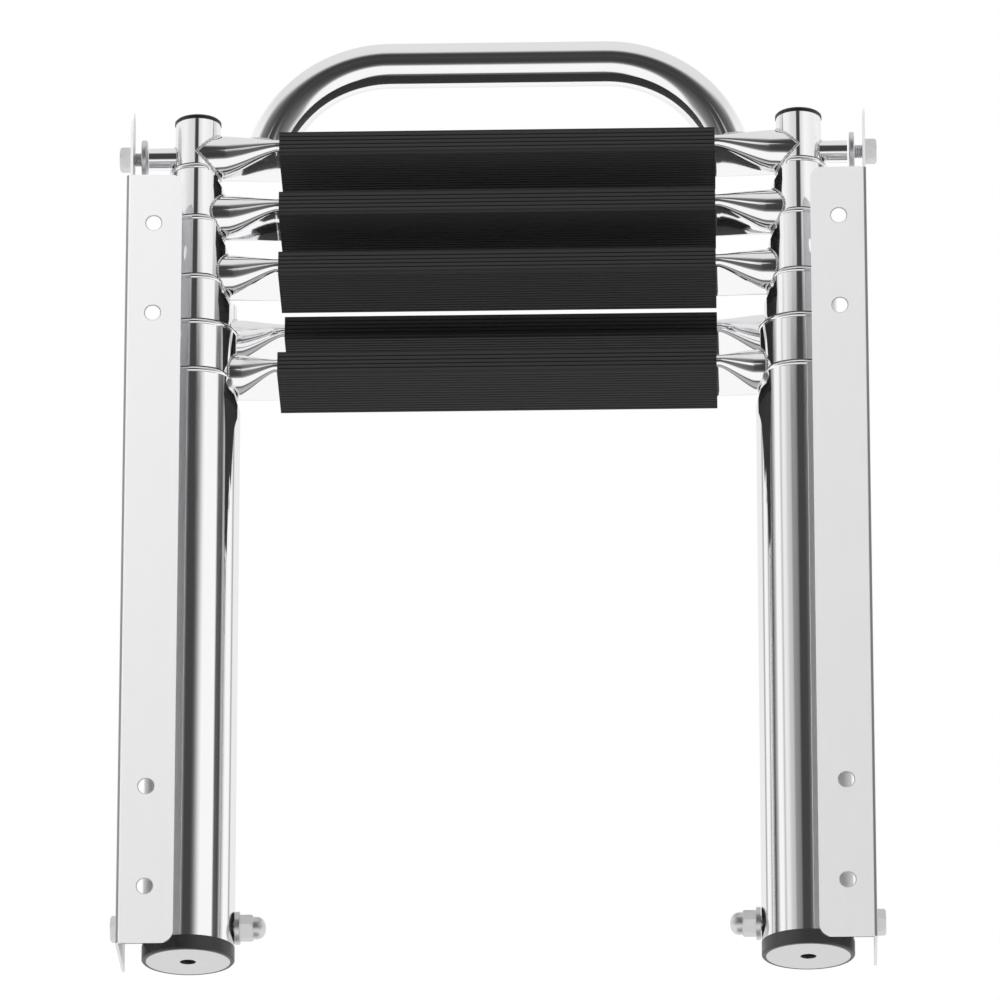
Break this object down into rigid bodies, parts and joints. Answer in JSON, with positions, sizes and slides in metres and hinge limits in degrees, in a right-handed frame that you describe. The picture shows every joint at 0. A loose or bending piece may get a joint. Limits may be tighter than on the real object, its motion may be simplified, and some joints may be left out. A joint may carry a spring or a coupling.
{
  "type": "telescoping boat ladder",
  "caption": "Stowed telescoping boarding ladder: nested polished tubes, ribbed black treads, a hand loop on top, and two angle rails that bolt to the boat.",
  "frame": {"origin": "on the mounting face of the left rail's flange, on the line of its four holes, half-way up the rail", "axes": "-Y out of the mounting faces, +Z along the tubes towards the hand loop, +X from the left rail to the right rail"},
  "size_m": [0.4257, 0.1303, 0.54],
  "materials": {
    "polished_steel": "polished",
    "bolt_steel": "satin",
    "brushed_disc": "brushed",
    "tread_rubber": "matte",
    "black_rubber": "satin",
    "black_plastic": "matte",
    "nylon": "matte"
  },
  "bodies": {
    "rails": {"left_rail": "polished_steel", "right_rail": "polished_steel", "left_pivot_bolt": "bolt_steel", "right_pivot_bolt": "bolt_steel", "left_pivot_nut": "bolt_steel", "right_pivot_nut": "bolt_steel", "left_pivot_washer": "bolt_steel", "right_pivot_washer": "bolt_steel", "left_pivot_spacer": "nylon", "right_pivot_spacer": "nylon", "left_latch_bolt": "bolt_steel", "right_latch_bolt": "bolt_steel"},
    "base_tubes": {"left_tube_6": "polished_steel", "right_tube_6": "polished_steel", "left_end_cap": "black_plastic", "right_end_cap": "black_plastic", "left_end_disc": "brushed_disc", "right_end_disc": "brushed_disc", "guide_bushings_6": "black_plastic"},
    "section_5": {"left_tube_5": "polished_steel", "right_tube_5": "polished_steel", "rung_5": "polished_steel", "tread_5": "tread_rubber", "guide_bushings_5": "black_plastic"},
    "section_4": {"left_tube_4": "polished_steel", "right_tube_4": "polished_steel", "rung_4": "polished_steel", "tread_4": "tread_rubber", "guide_bushings_4": "black_plastic", "left_stand_off": "polished_steel", "right_stand_off": "polished_steel"},
    "section_3": {"left_tube_3": "polished_steel", "right_tube_3": "polished_steel", "rung_3": "polished_steel", "tread_3": "tread_rubber", "guide_bushings_3": "black_plastic"},
    "section_2": {"left_tube_2": "polished_steel", "right_tube_2": "polished_steel", "rung_2": "polished_steel", "tread_2": "tread_rubber", "guide_bushings_2": "black_plastic"},
    "section_1": {"left_tube_1": "polished_steel", "right_tube_1": "polished_steel", "rung_1": "polished_steel", "tread_1": "tread_rubber", "guide_bushings_1": "black_plastic", "hand_loop": "polished_steel", "left_top_cap": "black_rubber", "right_top_cap": "black_rubber", "left_latch_boss": "polished_steel", "right_latch_boss": "polished_steel"}
  },
  "joints": [
    {"name": "ladder_swing", "type": "hinge", "parent": "rails", "child": "base_tubes", "pos_m": [0.19065, 0.03702, -0.205], "axis": [-1, 0, 0], "range_deg": [0, 180]},
    {"name": "slide_5", "type": "slide", "parent": "base_tubes", "child": "section_5", "axis": [0, 0, 1], "range_m": [0, 0.255]},
    {"name": "slide_4", "type": "slide", "parent": "section_5", "child": "section_4", "axis": [0, 0, 1], "range_m": [0, 0.255]},
    {"name": "slide_3", "type": "slide", "parent": "section_4", "child": "section_3", "axis": [0, 0, 1], "range_m": [0, 0.255]},
    {"name": "slide_2", "type": "slide", "parent": "section_3", "child": "section_2", "axis": [0, 0, 1], "range_m": [0, 0.255]},
    {"name": "slide_1", "type": "slide", "parent": "section_2", "child": "section_1", "axis": [0, 0, 1], "range_m": [0, 0.255]}
  ]
}
